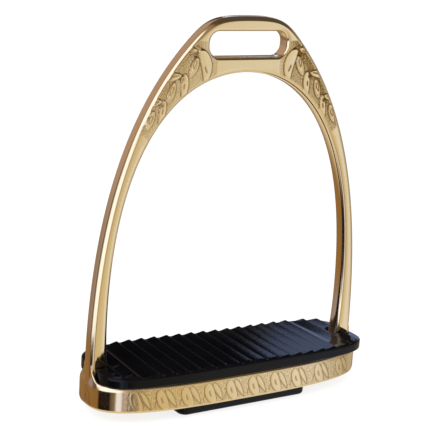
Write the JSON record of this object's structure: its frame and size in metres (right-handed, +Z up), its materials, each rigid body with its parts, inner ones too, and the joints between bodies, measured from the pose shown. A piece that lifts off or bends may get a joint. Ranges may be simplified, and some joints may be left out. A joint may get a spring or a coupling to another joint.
{
  "type": "stirrup iron",
  "caption": "Polished brass riding stirrup: arched bow with engraved shoulders, a slot for the stirrup leather, an engraved footplate and a ribbed rubber tread that lifts out.",
  "frame": {"origin": "on the ground that the iron stands on, under the middle of the footplate", "axes": "+X along the footplate, +Y from the front face to the back face, +Z up towards the leather eye"},
  "size_m": [0.1336, 0.0428, 0.1644],
  "materials": {
    "polished_brass": "polished casting, engraved and stippled",
    "tread_rubber": "satin moulded rubber"
  },
  "bodies": {
    "iron": {"iron": "polished_brass"},
    "tread": {"tread": "tread_rubber"}
  },
  "joints": [
    {"name": "tread_lift", "type": "slide", "parent": "iron", "child": "tread", "axis": [0, 0, 1], "range_m": [0, 0.018]}
  ]
}
